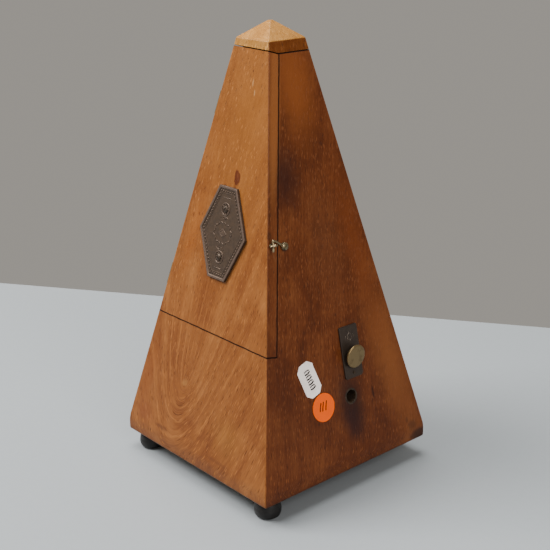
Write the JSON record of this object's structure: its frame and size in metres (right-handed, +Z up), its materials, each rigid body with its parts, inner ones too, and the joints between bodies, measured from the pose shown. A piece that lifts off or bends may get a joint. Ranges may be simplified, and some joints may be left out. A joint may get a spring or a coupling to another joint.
{
  "type": "metronome",
  "caption": "Wind-up metronome in a tapering four-sided wooden case, with a hinged front door, hinged lid, hook latch, bell pull, swinging rod with sliding weight, and three round feet.",
  "frame": {"origin": "on the table, under the middle of the base", "axes": "+Z up; the front with the door faces -Y; the side with the winding hole and the bell pull faces +X"},
  "size_m": [0.115, 0.1128, 0.2309],
  "materials": {
    "case_wood": "dark red-brown varnished hardwood with open pores",
    "front_wood": "mid-brown varnished hardwood with cathedral grain and open pores",
    "lid_wood": "mid-brown varnished hardwood, glossy and worn at its edges",
    "plain_wood": "unfinished softwood, sawn and sanded",
    "scale_enamel": "cream enamel with dark engraved marks, satin",
    "foot_black": "turned and ebonised, semi-gloss black lacquer",
    "hardware_brass": "aged brass, satin",
    "latch_brass": "aged brass with green tarnish, bright where it is rubbed",
    "dark_plate": "dark patinated brass, satin with rubbed edges",
    "plaque_bronze": "dark bronze patina, rubbed bright on its raised edges",
    "knob_brass": "worn pale brass, polished rim",
    "white_paper": "matt off-white paper, slightly soiled",
    "orange_paper": "matt orange paper, slightly soiled",
    "movement_brass": "rolled brass sheet, brushed",
    "movement_steel": "brushed steel",
    "spring_steel": "blued spring steel",
    "bell_metal": "nickel-plated, polished",
    "bob_lead": "cast dark grey metal, rough",
    "weight_brass": "lacquered brass, polished"
  },
  "bodies": {
    "case": {"side_panel_left": "case_wood", "side_panel_right": "case_wood", "back_panel": "case_wood", "front_lower_panel": "front_wood", "bottom_board": "plain_wood", "corner_blocks": "plain_wood", "top_block": "plain_wood", "scale_board": "plain_wood", "scale_plate": "scale_enamel", "scale_pins": "hardware_brass", "rod_clip": "movement_steel", "feet": "foot_black", "lid_hinge_case_leaf": "hardware_brass", "lid_hinge_pin": "hardware_brass", "door_hinge_case_leaves": "hardware_brass", "door_hinge_pins": "hardware_brass", "case_screws": "hardware_brass", "latch_screw": "latch_brass", "bell_plate": "dark_plate", "bell_plate_pin": "dark_plate", "key_bush": "dark_plate", "paper_label": "white_paper", "round_label": "orange_paper", "movement_base": "movement_brass", "movement_plate_left": "movement_brass", "movement_plate_right": "movement_brass", "movement_pillars": "movement_brass", "plate_screws": "movement_steel", "base_screws": "movement_steel", "pendulum_cocks": "movement_brass", "bell": "bell_metal", "bell_post": "movement_steel", "bell_nut": "hardware_brass"},
    "door": {"front_door": "front_wood", "plaque": "plaque_bronze", "plaque_screws": "plaque_bronze", "door_hinge_leaves": "hardware_brass", "door_screws": "hardware_brass", "latch_eye": "latch_brass"},
    "lid": {"lid": "lid_wood", "lid_hinge_leaf": "hardware_brass", "lid_screws": "hardware_brass"},
    "latch": {"latch_hook": "latch_brass"},
    "pendulum": {"pendulum_rod": "movement_steel", "pendulum_arbor": "movement_steel", "bob_arm": "movement_steel", "lower_bob": "bob_lead", "pallets": "movement_steel"},
    "weight": {"sliding_weight": "weight_brass"},
    "winding": {"winding_arbor": "movement_steel", "ratchet_wheel": "movement_steel"},
    "click": {"click": "movement_steel"},
    "barrel": {"great_wheel": "movement_brass", "spring_barrel": "movement_brass", "mainspring": "spring_steel"},
    "second": {"second_wheel": "movement_brass"},
    "escape": {"escape_wheel": "movement_brass"},
    "hammer": {"bell_hammer": "movement_steel"},
    "pull": {"pull_rod": "movement_steel", "pull_knob": "knob_brass"}
  },
  "joints": [
    {"name": "lid_hinge", "type": "hinge", "parent": "case", "child": "lid", "pos_m": [0, 0.01427, 0.21718], "axis": [-1, 0, 0], "range_deg": [0, 100]},
    {"name": "door_hinge", "type": "hinge", "parent": "case", "child": "door", "pos_m": [-0.04034, -0.0319, 0.09999], "axis": [-0.2105, -0.2065, -0.9555], "range_deg": [0, 100]},
    {"name": "latch_hinge", "type": "hinge", "parent": "case", "child": "latch", "pos_m": [0.03359, -0.0221, 0.12949], "axis": [-0.9766, 0, -0.2151], "range_deg": [0, 90]},
    {"name": "pendulum_swing", "type": "hinge", "parent": "case", "child": "pendulum", "pos_m": [0, -0.04196, 0.06728], "axis": [0, -0.9774, 0.2112], "range_deg": [-6.5, 6.5]},
    {"name": "weight_slide", "type": "slide", "parent": "pendulum", "child": "weight", "axis": [0, 0.2112, 0.9774], "range_m": [-0.036, 0.042]},
    {"name": "bell_pull", "type": "slide", "parent": "case", "child": "pull", "axis": [1, 0, 0], "range_m": [0, 0.012]},
    {"name": "winding", "type": "hinge", "parent": "case", "child": "winding", "pos_m": [0.0434, 0.0072, 0.0473], "axis": [1, 0, 0], "continuous": true},
    {"name": "click_pivot", "type": "hinge", "parent": "case", "child": "click", "pos_m": [0.03175, 0.01459, 0.05611], "axis": [-1, 0, 0], "range_deg": [0, 12], "stiffness_Nm_per_rad": 0.002},
    {"name": "barrel_turn", "type": "hinge", "parent": "case", "child": "barrel", "pos_m": [0.0085, 0.0072, 0.0473], "axis": [1, 0, 0], "continuous": true},
    {"name": "second_turn", "type": "hinge", "parent": "case", "child": "second", "pos_m": [0, -0.01123, 0.03439], "axis": [1, 0, 0], "continuous": true},
    {"name": "escape_turn", "type": "hinge", "parent": "case", "child": "escape", "pos_m": [0, -0.02047, 0.04621], "axis": [1, 0, 0], "continuous": true},
    {"name": "hammer_pivot", "type": "hinge", "parent": "case", "child": "hammer", "pos_m": [-0.031, 0, 0.026], "axis": [1, 0, 0], "range_deg": [0, 14], "stiffness_Nm_per_rad": 0.002}
  ],
  "couplings": [
    {"joint": "second_turn", "follows": "barrel_turn", "ratio": -4},
    {"joint": "escape_turn", "follows": "barrel_turn", "ratio": 16}
  ]
}
